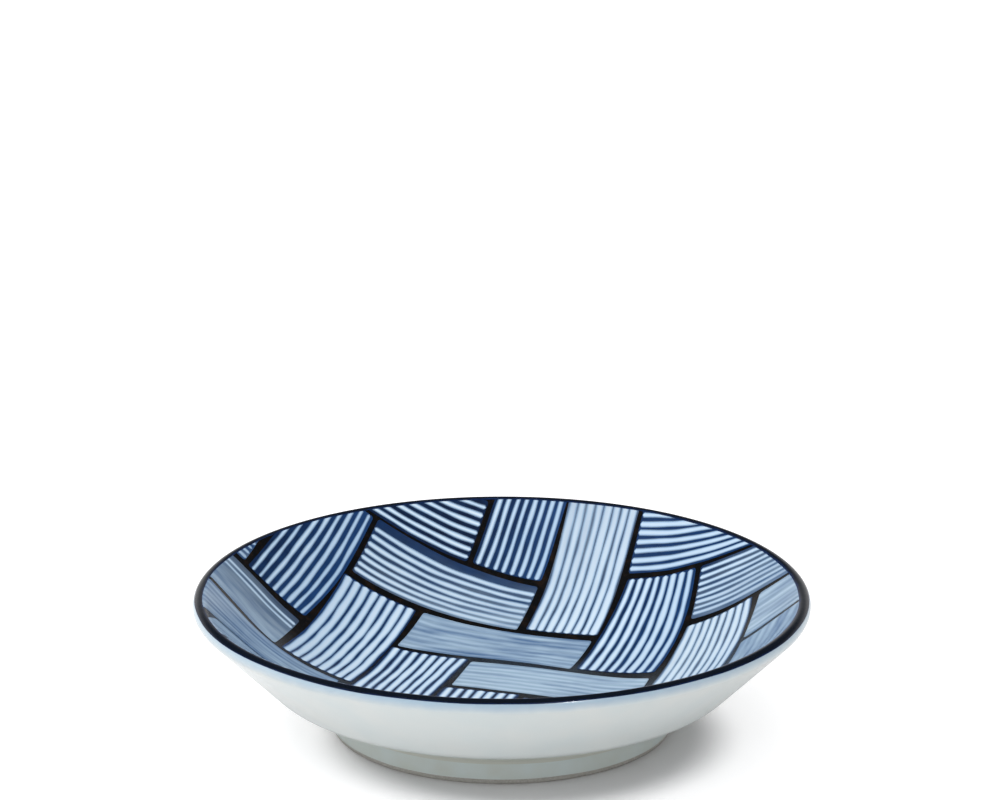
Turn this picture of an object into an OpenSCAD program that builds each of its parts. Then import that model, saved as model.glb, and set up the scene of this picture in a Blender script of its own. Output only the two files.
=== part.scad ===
// A soy sauce dish of glazed porcelain: a shallow flared bowl on a turned foot ring, with a dark
// line painted round its lip and an ajiro basket weave painted inside. Millimetres, +Z up, the
// origin at the middle of the foot's resting face.

/* [Dish] */
// Diameter over the lip
dish_d = 100; // [84:1:120]
// Height from the table to the top of the lip
dish_h = 22.4; // [18:0.2:30]
// Radius of the rounded lip
lip_r = 1.3; // [1:0.1:2]

/* [Outside of the bowl] */
// Diameter at the heel, where the flared wall turns into the shallow underside
heel_d = 75; // [66:1:84]
// Height of the heel above the table
heel_h = 8.1; // [6:0.1:11]
// Radius of the bend at the heel
heel_bend_r = 8; // [4:0.5:12]
// Height at which the underside meets the foot
under_h = 4.4; // [3.8:0.1:6]

/* [Inside of the bowl] */
// Thickness of the floor over the recess in the foot
floor_t = 2.9; // [2:0.1:5]
// Diameter of the circle where the lines of the floor and of the wall meet
well_d = 60; // [50:1:68]
// Radius of the sweep from the floor up into the wall
well_bend_r = 42; // [24:1:48]

/* [Foot] */
// Diameter of the foot where it meets the underside
foot_d = 56.6; // [48:0.2:62]
// How much narrower the foot is at the table than at its top, on the diameter
foot_taper = 0.8; // [0:0.1:2]
// Width of the foot ring at the table
foot_w = 3.4; // [2.4:0.1:5]
// How much wider the foot ring is at its root, on its inner side
foot_root_w = 0.7; // [0:0.1:1.5]
// Depth of the recess inside the foot ring
recess_h = 2.9; // [2:0.1:3.4]
// Radius of the foot's two lower edges
foot_edge_r = 0.4; // [0.2:0.1:0.8]
// Radius of the fillet between the foot and the underside
foot_fillet_r = 0.8; // [0.4:0.1:1.5]

/* [Coats] */
// Thickness of the glaze and of the painted coats
coat_t = 0.25; // [0.15:0.05:0.4]
// Height of the band at the bottom of the foot that is wiped free of glaze
bare_h = 0.8; // [0.6:0.1:1.6]
// Angle round the lip's section, up from level, at which the dark line ends outside
line_out_angle = 22; // [0:1:45]

/* [Weave] */
// Turn of the whole weave about the axis of the dish
weave_turn = -16.5; // [-90:0.5:90]
// Radius of the strands' corners
strand_corner_r = 0.5; // [0.2:0.1:1]

/* [Hidden] */
$fn = 180;

// Largest steps, in degrees, of the arcs in a section and at the strands' corners
bend_step = 6;
lip_step = 12;
edge_step = 15;
strand_step = 30;

rim_r = dish_d / 2;
heel = [heel_d / 2, heel_h];
foot_top = [foot_d / 2, under_h];
foot_base = [(foot_d - foot_taper) / 2, 0];
floor_z = recess_h + coat_t + floor_t;
well = [well_d / 2, floor_z];

// Underside of the bowl's body, on which the foot ring's root and the base glaze meet it
seat_z = recess_h + coat_t;
foot_in_base = [foot_base.x - foot_w, 0];
foot_in_root = [foot_in_base.x - foot_root_w, recess_h];

// Centre of the lip's round section
lip = [rim_r - lip_r, dish_h - lip_r];

// Angle of the line that runs from a point and just touches the lip's circle on one side
function flank_angle(p, side) =
    atan2(lip.y - p.y, lip.x - p.x) + side * asin(lip_r / norm(lip - p));
foot_side_angle = atan2(foot_top.y - foot_base.y, foot_top.x - foot_base.x);
under_angle = atan2(heel.y - foot_top.y, heel.x - foot_top.x);
wall_angle = flank_angle(heel, -1);
well_angle = flank_angle(well, 1);
foot_in_angle = atan2(foot_in_root.y - foot_in_base.y, foot_in_root.x - foot_in_base.x);

// Direction at an angle, and a point moved square to the left of a line at that angle
function along(a) = [cos(a), sin(a)];
function moved(p, a, t) = p + t * [-sin(a), cos(a)];

// Point where a line through p at angle a meets a line through q at angle b
function meet(p, a, q, b) =
    p + ((q.x - p.x) * sin(b) - (q.y - p.y) * cos(b)) / sin(b - a) * along(a);

// Corners of the outer surface drawn in by t: on the foot's side at a height, at the foot's root,
// at the heel, and where the flared wall runs into the lip
function side_at(z, t) = meet([0, z], 0, moved(foot_base, foot_side_angle, t), foot_side_angle);
function root_at(t) = meet(side_at(0, t), foot_side_angle, moved(heel, under_angle, t), under_angle);
function heel_at(t) = meet(moved(heel, under_angle, t), under_angle, moved(heel, wall_angle, t), wall_angle);
function lip_out(t) = moved(lip, wall_angle, t - lip_r);

// Point on the foot ring's inner side at a height, moved into the ring by t
function foot_in_at(z, t) = meet([0, z], 0, moved(foot_in_base, foot_in_angle, -t), foot_in_angle);

// Corners of the inner surface deepened by t: where the lip runs into the wall, and at the well
function lip_in(t) = moved(lip, well_angle, lip_r - t);
function well_at(t) = meet([0, floor_z - t], 0, lip_in(t), well_angle);

// Radius of the sweep into the wall, kept to what the wall and the floor have room for
bend_room_share = 0.9;
well_room = min(norm(lip_in(0) - well_at(0)), well.x);
well_bend = min(well_bend_r, bend_room_share * well_room / tan(well_angle / 2));

// Height at which the pale glaze of the bowl takes over from the glaze on the foot
foot_glaze_top = under_h - foot_fillet_r;

// Strands of the weave that run up the dish, in the weave's own axes, as shares of the rim's
// radius: left edge, right edge, lower end, upper end, and how far the upper end leans right
up_strand_shares = [
    [-0.300, -0.060, 0.704, 1.000, 0.024],
    [-0.052, 0.203, 0.474, 1.000, 0.018],
    [0.215, 0.469, 0.212, 0.714, 0.028],
    [0.486, 0.722, -0.060, 0.460, 0.032],
    [0.752, 1.000, -0.280, 0.196, 0.016],
    [-0.878, -0.690, 0.118, 0.660, 0.062],
    [-0.692, -0.458, -0.170, 0.428, 0.036],
    [-0.448, -0.198, -0.380, 0.208, 0.036],
    [-0.188, 0.068, -0.600, -0.056, 0.020],
    [0.084, 0.340, -0.840, -0.300, 0.020],
    [0.346, 0.600, -1.000, -0.546, 0.020],
    [-0.834, -0.590, -1.000, -0.660, 0.020]
];

// Strands that run across it: left end, right end, lower edge, upper edge, and how far the
// right end drops
across_strand_shares = [
    [-0.960, -0.330, 0.696, 0.906, -0.012],
    [-0.642, -0.082, 0.456, 0.684, -0.008],
    [-0.414, 0.180, 0.222, 0.446, 0.006],
    [-0.160, 0.460, -0.042, 0.196, 0.020],
    [0.096, 0.726, -0.284, -0.084, 0.010],
    [0.372, 0.980, -0.528, -0.306, 0.010],
    [0.628, 1.000, -0.772, -0.552, 0.010],
    [-1.000, -0.926, 0.124, 0.346, 0.000],
    [-1.000, -0.720, -0.148, 0.090, 0.036],
    [-1.000, -0.492, -0.406, -0.184, 0.016],
    [-0.828, -0.212, -0.634, -0.434, 0.010],
    [-0.564, 0.064, -0.878, -0.662, 0.010],
    [-0.316, 0.328, -1.000, -0.896, 0.010],
    [0.234, 0.840, 0.732, 0.950, 0.032],
    [0.502, 1.000, 0.468, 0.696, 0.024],
    [0.752, 1.000, 0.216, 0.442, 0.008]
];

// Outline through a list of [corner, radius] pairs. Each corner is rounded by an arc in steps of
// at most the given angle, and a radius of zero leaves it sharp.
function rounded(corners, step) = [for (i = [0 : len(corners) - 1]) each corner_arc(corners, i, step)];
function corner_arc(corners, i, step) =
    corners[i][1] == 0 ? [corners[i][0]] :
    let (
        radius = corners[i][1],
        before = edge_angle(corners, i - 1),
        turn = (edge_angle(corners, i) - before + 540) % 360 - 180,
        start = corners[i][0] - radius * tan(abs(turn) / 2) * along(before),
        centre = moved(start, before, sign(turn) * radius),
        count = ceil(abs(turn) / step)
    )
    [for (k = [0 : count]) moved(centre, before + turn * k / count, -sign(turn) * radius)];
function edge_angle(corners, i) =
    let (a = corners[(i + len(corners)) % len(corners)][0], b = corners[(i + 1) % len(corners)][0])
    atan2(b.y - a.y, b.x - a.x);

// Points round the lip's circle drawn in by t, from one angle to another
function lip_arc(t, from, to) =
    let (count = ceil(abs(to - from) / lip_step))
    [for (k = [0 : count]) [lip + (lip_r - t) * along(from + (to - from) * k / count), 0]];

// The painted coat over the whole inside, below the dark line
module inside_coat() {
    rotate_extrude() polygon(rounded([
        [[0, floor_z - coat_t], 0], [well_at(coat_t), well_bend + coat_t], [lip_in(coat_t), 0],
        [lip_in(0), 0], [well_at(0), well_bend], [[0, floor_z], 0]
    ], bend_step));
}

// Outline of one strand: its edges as shares of the rim's radius, and the lean of its upper end
// or the drop of its right end
function strand_outline(s, lean, drop) = rounded([
    for (corner = [[0, 2, -1, 1], [1, 2, -1, -1], [1, 3, 1, -1], [0, 3, 1, 1]])
        [rim_r * [s[corner[0]] + corner[2] * lean / 2, s[corner[1]] + corner[3] * drop / 2], strand_corner_r]
], strand_step);

// The strands' outlines as upright prisms that run through the painted coat
module strand_prisms(strands, leans, drops) {
    rotate(weave_turn) linear_extrude(height = dish_h)
        for (s = strands) polygon(strand_outline(s, leans * s[4], drops * s[4]));
}
module up_prisms() {
    strand_prisms(up_strand_shares, 1, 0);
}
module across_prisms() {
    strand_prisms(across_strand_shares, 0, 1);
}

// The fired bowl, floor and flared wall, under its coats
module bowl_body() {
    color([0.93, 0.93, 0.90]) rotate_extrude() polygon(rounded([
        [[0, seat_z], 0], [side_at(seat_z, coat_t), 0], [root_at(coat_t), foot_fillet_r + coat_t],
        [heel_at(coat_t), heel_bend_r - coat_t], each lip_arc(coat_t, wall_angle - 90, well_angle + 90),
        [well_at(coat_t), well_bend + coat_t], [[0, floor_z - coat_t], 0]
    ], bend_step));
}

// The turned foot, a low ring with softened lower edges, bare at the table
module foot_ring() {
    color([0.86, 0.83, 0.77]) rotate_extrude() polygon(rounded([
        [foot_in_at(0, coat_t), foot_edge_r], [side_at(0, coat_t), foot_edge_r],
        [side_at(seat_z, coat_t), 0], [foot_in_at(seat_z, coat_t), 0]
    ], edge_step));
}

// Pale glaze over the flared wall and the underside, from the dark line down to the foot
module outside_glaze() {
    color([0.85, 0.88, 0.88]) rotate_extrude() polygon(rounded([
        [side_at(foot_glaze_top, 0), 0], [root_at(0), foot_fillet_r], [heel_at(0), heel_bend_r],
        each lip_arc(0, wall_angle - 90, line_out_angle), each lip_arc(coat_t, line_out_angle, wall_angle - 90),
        [heel_at(coat_t), heel_bend_r - coat_t], [root_at(coat_t), foot_fillet_r + coat_t],
        [side_at(foot_glaze_top, coat_t), 0]
    ], bend_step));
}

// Darker glaze that gathers on the foot, down to its bare band
module foot_glaze() {
    color([0.52, 0.57, 0.56]) rotate_extrude() polygon([
        side_at(bare_h, 0), side_at(foot_glaze_top, 0), side_at(foot_glaze_top, coat_t), side_at(bare_h, coat_t)
    ]);
}

// Glaze on the roof of the recess and on the foot ring's inner side
module base_glaze() {
    color([0.80, 0.84, 0.83]) rotate_extrude() polygon([
        [0, recess_h], foot_in_at(recess_h, 0), foot_in_at(bare_h, 0), foot_in_at(bare_h, coat_t),
        foot_in_at(seat_z, coat_t), [0, seat_z]
    ]);
}

// Near-black paint that shows as the gaps between the strands
module painted_gaps() {
    color([0.08, 0.08, 0.09]) difference() {
        inside_coat();
        up_prisms();
        across_prisms();
    }
}

// Painted strands that run up the dish
module strands_up() {
    color([0.74, 0.83, 0.92]) intersection() {
        inside_coat();
        up_prisms();
    }
}

// Painted strands that run across it
module strands_across() {
    color([0.50, 0.61, 0.74]) intersection() {
        inside_coat();
        across_prisms();
    }
}

// Dark line over the lip
module rim_line() {
    color([0.10, 0.12, 0.15]) rotate_extrude() polygon(rounded([
        each lip_arc(0, line_out_angle, well_angle + 90), each lip_arc(coat_t, well_angle + 90, line_out_angle)
    ], lip_step));
}

bowl_body();
foot_ring();
outside_glaze();
foot_glaze();
base_glaze();
painted_gaps();
strands_up();
strands_across();
rim_line();
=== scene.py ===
"""A soy sauce dish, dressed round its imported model: the fired body, its glazes, the dark line over the
lip and the basket weave painted inside. Metres, +Z up, the dish standing on the origin."""

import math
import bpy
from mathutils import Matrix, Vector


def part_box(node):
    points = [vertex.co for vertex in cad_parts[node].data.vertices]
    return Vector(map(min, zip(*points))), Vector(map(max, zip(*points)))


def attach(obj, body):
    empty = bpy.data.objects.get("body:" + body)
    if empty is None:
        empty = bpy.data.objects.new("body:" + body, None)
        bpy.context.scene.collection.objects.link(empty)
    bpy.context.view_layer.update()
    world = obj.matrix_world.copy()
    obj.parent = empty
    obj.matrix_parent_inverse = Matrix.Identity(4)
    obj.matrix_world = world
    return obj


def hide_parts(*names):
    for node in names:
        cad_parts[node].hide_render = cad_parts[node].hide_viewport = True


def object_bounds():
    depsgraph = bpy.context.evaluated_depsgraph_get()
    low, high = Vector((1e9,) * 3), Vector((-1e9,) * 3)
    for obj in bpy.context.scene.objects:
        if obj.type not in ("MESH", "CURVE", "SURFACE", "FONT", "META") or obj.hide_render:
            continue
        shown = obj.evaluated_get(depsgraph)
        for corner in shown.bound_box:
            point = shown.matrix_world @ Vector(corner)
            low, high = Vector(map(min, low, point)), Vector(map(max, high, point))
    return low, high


bl_info = {
    "name": "Soy Sauce Dish",
    "version": (1, 0, 0),
    "blender": (4, 5, 0),
    "location": "3D View > Sidebar > Dish",
    "description": "Builds a glazed porcelain soy sauce dish with a painted basket weave",
    "category": "Add Mesh",
}

from collections import namedtuple

import bmesh
import bpy
from mathutils import Matrix, Vector, noise

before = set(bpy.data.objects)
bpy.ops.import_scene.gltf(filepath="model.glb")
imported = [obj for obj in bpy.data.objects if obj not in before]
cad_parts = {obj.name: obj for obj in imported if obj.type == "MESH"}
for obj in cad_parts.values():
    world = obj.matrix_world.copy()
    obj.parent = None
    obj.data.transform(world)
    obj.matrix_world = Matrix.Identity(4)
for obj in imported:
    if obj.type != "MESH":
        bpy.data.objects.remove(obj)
CAD_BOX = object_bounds()

MM = 0.001
BODY = "root"


def linear(code):
    """Linear colour of an sRGB hex code."""
    shares = [int(code[i:i + 2], 16) / 255 for i in (1, 3, 5)]
    return [s / 12.92 if s <= 0.04045 else ((s + 0.055) / 1.055) ** 2.4 for s in shares]


def length(name, description, millimetres):
    """A size that the user can change, in metres."""
    return bpy.props.FloatProperty(
        name=name, description=description, default=millimetres * MM,
        unit="LENGTH", subtype="DISTANCE", precision=5,
    )


def angle(name, description, degrees):
    """An angle that the user can change, in radians."""
    return bpy.props.FloatProperty(
        name=name, description=description, default=math.radians(degrees), unit="ROTATION", subtype="ANGLE"
    )


def colour(name, description, code):
    """A colour that the user can change, given as an sRGB hex code."""
    return bpy.props.FloatVectorProperty(
        name=name, description=description, default=linear(code), size=3, min=0, max=1, subtype="COLOR"
    )


def share(name, description, value):
    """A plain number from 0 to 1 that the user can change."""
    return bpy.props.FloatProperty(
        name=name, description=description, default=value, min=0, max=1, subtype="FACTOR"
    )


class DishShape(bpy.types.PropertyGroup):
    """Sizes of the dish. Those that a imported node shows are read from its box."""

    diameter: length("Diameter", "Over the lip", 2 * CAD_BOX[1].x / MM)
    height: length("Height", "From the table to the top of the lip", CAD_BOX[1].z / MM)
    lip_radius: length("Lip radius", "Radius of the rounded lip", 1.3)
    heel_diameter: length("Heel diameter", "Where the wall turns into the underside", 75)
    heel_height: length("Heel height", "Height of the heel above the table", 8.1)
    heel_bend: length("Heel bend", "Radius of the bend at the heel", 8)
    under_height: length("Underside height", "Where the underside meets the foot", 4.4)
    well_diameter: length("Well diameter", "Where the lines of floor and wall meet", 60)
    well_bend: length("Well bend", "Radius of the sweep from the floor into the wall", 42)
    foot_diameter: length("Foot diameter", "At the foot's top", 56.6)
    foot_taper: length("Foot taper", "How much narrower the foot is at the table", 0.8)
    foot_width: length("Foot width", "Width of the foot ring at the table", 3.4)
    foot_root_width: length("Foot root width", "How much wider the ring is at its root", 0.7)
    foot_edge: length("Foot edge", "Radius of the foot's lower edges", 0.4)
    foot_fillet: length("Foot fillet", "Radius between the foot and the underside", 0.8)
    coat: length("Coat", "Thickness of the glaze and of the painted coats", 0.25)
    recess: length("Recess", "Depth of the recess in the foot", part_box("base_glaze")[1].z / MM - 0.25)
    bare: length("Bare band", "Height of the unglazed band at the table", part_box("foot_glaze")[0].z / MM)
    seat: length("Seat", "Underside of the bowl's body, on the foot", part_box("bowl_body")[0].z / MM)
    floor: length("Floor", "Height of the floor's surface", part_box("painted_gaps")[0].z / MM + 0.25)
    relief: length("Relief", "How far the painted strands stand over the dark ground", 0.04)
    sink: length("Sink", "How far the glaze and the strands lie under the dark line", 0.03)


class DishWeave(bpy.types.PropertyGroup):
    """The painted basket weave and the dark line."""

    turn: angle("Turn", "Turn of the weave about the dish's axis", -16.5)
    corner: length("Corner", "Radius of the strands' corners", 0.5)
    waver: length("Waver", "How far the brush wavers from a strand's outline", 0.10)
    line_out: angle("Line outside", "Angle round the lip at which the line ends outside", 39)
    line_in: angle("Line inside", "Angle round the lip at which the line ends inside, at the front", 100)
    line_swell: angle("Line swell", "How much further round the lip the line reaches at the back", 26)
    line_right: angle("Line, right", "How much further round the lip the line reaches on the right", 15)
    line_waver: angle("Line waver", "How far the line's edges waver round the lip", 6)
    stroke_end: length("Stroke end", "How far a stroke stays from its strand's end, at most", 0.12)
    stroke_tip: length("Stroke tip", "Length over which a stroke's end rounds off", 0.3)


class DishColours(bpy.types.PropertyGroup):
    """Colours of the glazes and paints."""

    porcelain: colour("Porcelain", "Fired body under its coats", "#EFEEE8")
    # Bare clay is darker than the clay itself: painted contact shade along the foot's bare band on the table
    bare_clay_and_painted_shade: colour("Bare clay", "Foot where the glaze is wiped off", "#918E87")
    celadon: colour("Celadon", "Pale glaze outside", "#D6E4E6")
    # Thick celadon is darker and greener partly from the thicker coat and partly as painted shade under the
    # wall
    celadon_pool_and_shade: colour("Celadon, thick", "The same glaze where it gathers on the foot", "#CBCFC5")
    cobalt_bleed: colour("Cobalt bleed", "Blue that runs into the glaze under the dark line", "#9AB7CF")
    gap: colour("Gap", "Near-black ground between the strands", "#0A0B0D")
    gap_rust: colour("Gap, rust", "Brown flecks in the ground", "#22170F")
    line: colour("Line", "Dark line over the lip", "#0A121E")
    line_edge: colour("Line edge", "Blue at the edges of the line", "#142B55")
    stroke: colour("Stroke", "Middle of a white stroke", "#E6F4FE")
    stroke_pale: colour("Stroke, pale", "Thin paint at a stroke's sides", "#A6C6E6")
    stroke_blue: colour("Stroke, blue", "A stroke on a strand painted deeper", "#89B0D6")
    navy: colour("Navy", "Ground between the strokes", "#081A38")
    cobalt: colour("Cobalt", "Ground where a strand is painted deeper", "#1A4276")
    wash_pale: colour("Wash, pale", "Light streak of a washed strand", "#A6BFD4")
    wash_deep: colour("Wash, deep", "Dark streak of a washed strand", "#466994")


class DishStage(bpy.types.PropertyGroup):
    """Camera and studio light."""

    elevation: angle("Elevation", "Camera's height over the table, as an angle", 20.3)
    distance: length("Distance", "From the camera to the middle of the dish", 750)
    target: length("Target", "Height of the dish's middle", 12)
    lens: bpy.props.FloatProperty(name="Lens", description="Focal length in millimetres", default=165.89)
    ambience: share("Ambience", "Strength of the even light", 0.77)
    lean: share("Lean", "How much more of the even light comes from the left", 0.29)
    zenith: share("Zenith", "How much more of the even light comes from straight above", 0.5)
    horizon: share("Horizon", "Strength of the light that the glaze mirrors from low down", 0.55)
    overhead: share("Overhead", "Strength of the light that the glaze mirrors from above", 0.03)
    key_power: bpy.props.FloatProperty(
        name="Key", description="Power of the soft box on the left", default=1.4, unit="POWER"
    )
    sheen_power: bpy.props.FloatProperty(
        name="Sheen", description="Power of the soft box as the glaze mirrors it", default=0.55, unit="POWER"
    )
    key_size: length("Key size", "Side of the soft box", 350)
    glint_power: bpy.props.FloatProperty(
        name="Glint", description="Power of the small soft box that the front of the lip mirrors",
        default=1.2, unit="POWER",
    )
    glint_size: length("Glint size", "Side of the small soft box", 90)
    floor_size: length("Floor", "Side of the table top", 4000)


Strand = namedtuple(
    "Strand", "low high start end skews bows slants strokes margins fill blue wash",
    defaults=((0, 0), (0, 0), (0, 0), 8, (0.1, 0.1), 0.6, (0.3, 0.3), (0, 0, 0, 0)),
)

# Strands that run up the dish, in the weave's own axes, as shares of the rim's radius: left edge,
# right edge, lower end, upper end. Skews say how far the upper end of the left and of the right edge
# leans right, bows how far their middles do, and slants how much higher the lower and the upper end
# are on the right. Margins are the bare ground beside the strokes, in strokes, fill is a stroke's
# share of its own width, and blue and wash run from edge to edge and from corner to corner.
UP_STRANDS = (
    Strand(-0.300, -0.060, 0.704, 1.000, (0.025, 0.021), fill=0.44, blue=(0.3, 0.8)),
    Strand(-0.052, 0.203, 0.474, 1.000, (0.013, 0.018), (0.006, 0.000), (-0.006, 0), fill=0.73,
           blue=(0.3, 0.3), wash=(0.10, 0.05, 0.5, 0.3)),
    Strand(0.209, 0.466, 0.210, 0.713, (0.044, 0.010), (-0.004, 0.020), (-0.034, -0.018), fill=0.58,
           blue=(0.3, 0.7)),
    Strand(0.491, 0.712, -0.060, 0.456, (0.032, 0.027), (0.000, 0.026), fill=0.74, blue=(0.1, 0.3),
           wash=(0.35, 0.2, 0.3, 0.1)),
    Strand(0.744, 1.000, -0.280, 0.196, (0.016, 0.016), fill=0.55, blue=(0.3, 0.5),
           wash=(0.9, 0.8, 0.9, 0.8)),
    Strand(-0.881, -0.685, 0.118, 0.670, (0.062, 0.062), (-0.012, 0.000), fill=0.41, blue=(0.25, 0.85)),
    Strand(-0.690, -0.445, -0.170, 0.430, (0.020, 0.030), (0, 0), (0, 0.012), fill=0.67, blue=(0.6, 0.4)),
    Strand(-0.447, -0.193, -0.380, 0.204, (0.019, 0.034), (0, 0), (0, 0.018), fill=0.57, blue=(0.3, 0.4)),
    Strand(-0.188, 0.068, -0.600, -0.056, (0.020, 0.020), strokes=7, fill=0.62, blue=(0.3, 0.3)),
    Strand(0.084, 0.340, -0.840, -0.300, (0.020, 0.020), (0.006, 0.006), fill=0.60),
    Strand(0.346, 0.600, -1.000, -0.546, (0.020, 0.020), (0.004, 0.008), fill=0.58, blue=(0.3, 0.6)),
    Strand(-0.834, -0.590, -1.000, -0.660, (0.020, 0.020), (-0.006, 0.000), blue=(0.5, 0.5),
           wash=(0.9, 0.9, 0.95, 0.95)),
)

# Strands that run across it: lower edge, upper edge, left end, right end, and the same details, with
# what was on the right now at the top and what was higher now further right.
ACROSS_STRANDS = (
    Strand(0.683, 0.884, -0.960, -0.322, (0.035, 0.033), (0, 0), (0, 0.018), 7, (0.1, 0.3), 0.46,
           (0.15, 0.15)),
    Strand(0.459, 0.678, -0.650, -0.080, (0.016, 0.004), (0.006, 0.008), (0.024, 0.013), 7, (0.1, 0.8), 0.54,
           (0.2, 0.4), (0.1, 0, 0.75, 0.1)),
    Strand(0.216, 0.438, -0.415, 0.176, (0.010, 0.000), (0.022, 0.010), (0.020, 0.016), 7, (0.1, 0.1), 0.55,
           (0.3, 0.4), (0.85, 0.85, 0.85, 0.85)),
    Strand(-0.048, 0.170, -0.162, 0.458, (-0.030, -0.048), (0.006, 0.023), (0, 0), 7, (0.1, 0.1), 0.55,
           (0.05, 0.05), (0.85, 0.85, 0.85, 0.85)),
    Strand(-0.284, -0.084, 0.096, 0.726, (-0.010, -0.010), (0, 0), (0, 0), 7, (0.1, 0.1), 0.55,
           (0.4, 0.4), (0.7, 0.7, 0.5, 0.5)),
    Strand(-0.528, -0.306, 0.372, 0.980, (-0.010, -0.010), (0.006, 0.006), (0, 0), 7, (0.3, 0.1), 0.52,
           (0.4, 0.4), (0.5, 0.3, 0.2, 0.1)),
    Strand(-0.772, -0.552, 0.628, 1.000, (-0.010, -0.010), (0, 0), (0, 0), 7, (0.1, 0.3), 0.50,
           (0.4, 0.3), (0.3, 0.1, 0.1, 0)),
    Strand(0.124, 0.346, -1.000, -0.926, (0, 0), (0, 0), (0, 0), 7, (0.1, 0.1), 0.46,
           (0.6, 0.6), (0.3, 0.3, 0.3, 0.3)),
    Strand(-0.146, 0.086, -1.000, -0.720, (-0.062, -0.022), (0.004, 0.006), (0, 0), 2, (5.2, 0.8), 0.42,
           (0.4, 0.2), (1, 0.3, 1, 0.1)),
    Strand(-0.411, -0.163, -1.000, -0.492, (-0.016, -0.068), (0, -0.023), (0, 0), 7, (0.1, 0.1), 0.50,
           (0.45, 0.5), (0.85, 0.85, 0.85, 0.85)),
    Strand(-0.634, -0.428, -0.828, -0.212, (-0.010, -0.006), (0.004, 0.004), (0, 0), 7, (0.1, 0.2), 0.56,
           (0.4, 0.3), (0.9, 0.9, 0.5, 0.4)),
    Strand(-0.878, -0.662, -0.564, 0.064, (-0.010, -0.010), (0.006, 0.006), (0, 0), 8, (0.1, 0.2), 0.50,
           (0.3, 0.3), (0.1, 0.1, 0.2, 0.2)),
    Strand(-1.000, -0.896, -0.316, 0.328, (-0.010, -0.010), (0, 0), (0, 0), 4, (0.1, 0.1), 0.50, (0.3, 0.3)),
    Strand(0.711, 0.890, 0.226, 0.840, (-0.062, -0.103), (0, 0), (0, 0), 7, (0.1, 0.2), 0.53, (0.6, 0.5)),
    Strand(0.466, 0.680, 0.500, 1.000, (-0.042, -0.042), (0, 0), (-0.020, 0), 8, (0.5, 0.2), 0.53,
           (0.4, 0.3), (0.35, 0, 0.85, 0.5)),
    Strand(0.216, 0.442, 0.752, 1.000, (-0.008, -0.008), (0, 0), (0, 0), 7, (0.1, 0.1), 0.55,
           (0.1, 0.2), (0.85, 0.85, 0.85, 0.85)),
)

# Steps of the surfaces of revolution, of the arcs in a section and of the strands' grids
SPIN_STEPS = 240
ARC_STEP = math.radians(2)
LIP_STEP = math.radians(10)
STRAND_CELL = 0.35 * MM
RIM_CUTS = 120
CORNER_CUTS = 3
SHARP_ANGLE = math.radians(35)
MERGE_DISTANCE = 0.001 * MM
CUT_DISTANCE = 0.0001 * MM

# How far the pale glaze runs on under the dark line, as an angle round the lip, and how far the
# ground and the strands do, in wavers of the line
GLAZE_UNDER_LINE = math.radians(30)
GROUND_UNDER_LINE = 4
STRANDS_UNDER_LINE = 2

# Lengths over which the strands' outlines, the foot glaze's edge and the dark line drift, and how far
# up that glaze's edge drifts on average
STRAND_DRIFT = 6 * MM
GLAZE_DRIFT = 7 * MM
LINE_DRIFT = 9 * MM
GLAZE_EDGE = 0.12 * MM

# How closely the dark line's wider reach keeps to the back and to the right, as powers
BACK_POWER = 2
RIGHT_POWER = 6

# Seeds of each drift, and the steps from strand to strand and from stroke to stroke
SIDE_SEED = 0.3
END_SEED = 5.3
GLAZE_SEED = 2.1
LINE_OUT_SEED = 1.7
LINE_IN_SEED = 8.7
PRESS_SEED = 5.0
STRAND_SEED_STEP = 7.3
STROKE_SEED_STEP = 3.7

# Brushwork: lengths in millimetres along a strand, widths as shares of the lane that a stroke has
STROKE_DRIFT_LENGTH = 8.0
STROKE_DRIFT_WIDTH = 0.20
PRESS_LENGTH = 4.0
PRESS_WIDTH = 0.15
LUCK_WIDTH = 0.10
TIP_WIDTH = 0.1
STROKE_EDGE = (-0.10, 0.13)
STROKE_CORE = (-0.24, -0.02)
STROKE_TINT = 0.75
GROUND_CLOUD = 2.2
GROUND_CONTRAST = 0.7
STREAK_LENGTH = 9.0
STREAKS_PER_LANE = 0.9
STREAK_CONTRAST = 2.2
STREAK_LIGHT = 0.9

# Celadon, in millimetres: how far under the lip's top the cobalt's bleed starts, how far it runs and how
# unevenly, between which depths from front to back it fades, and where the thick glaze ends. That glaze
# is darker partly from its thickness and partly as painted shade at the foot's root
BLEED_START = 0.2
BLEED_RUN = 1.9
BLEED_UNEVEN = 0.7
BLEED_FADE = (-50, -12)
POOL_AND_SHADE_FADE = (4.6, 5.4)

# Studio: distance of the soft boxes in metres, and the ways to the left and to the front one
BOX_DISTANCE = 0.7
BOX_LEFT = Vector((-0.46, -0.07, 0.885))
BOX_FRONT = Vector((0.287, -0.542, 0.790))

# Table top: its colour, the shift that brings the shade's middle to zero, the distances from it over
# which the table's painted glow grows until the table is plain white, both in millimetres, the light it
# gives there, and the share of that light that the glaze mirrors. The glow paints the shadow's outer fade
TABLE_COLOUR = (0.81, 0.797, 0.806, 1)
SHADE_SHIFT = (-4, 6, 0)
SHADE_FADE = (26, 36)
TABLE_GLOW = 0.5
MIRRORED_GLOW = 0.3

# Heights in the sky over which the mirrored light dims and over which the even light grows, as sines
MIRRORED_FADE = (0.2, 0.42)
ZENITH_FADE = (0.5, 0.9)


def along(direction):
    """Unit vector of a section at an angle from level."""
    return Vector((math.cos(direction), math.sin(direction)))


def moved(point, direction, distance):
    """A point moved square to the left of a line at an angle."""
    return point + distance * Vector((-math.sin(direction), math.cos(direction)))


def meet(p, a, q, b):
    """Where a line through p at angle a meets a line through q at angle b."""
    cross = (q.x - p.x) * math.sin(b) - (q.y - p.y) * math.cos(b)
    return p + cross / math.sin(b - a) * along(a)


def angle_of(p, q):
    """Angle from level of the line from p to q."""
    return math.atan2(q.y - p.y, q.x - p.x)


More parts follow.
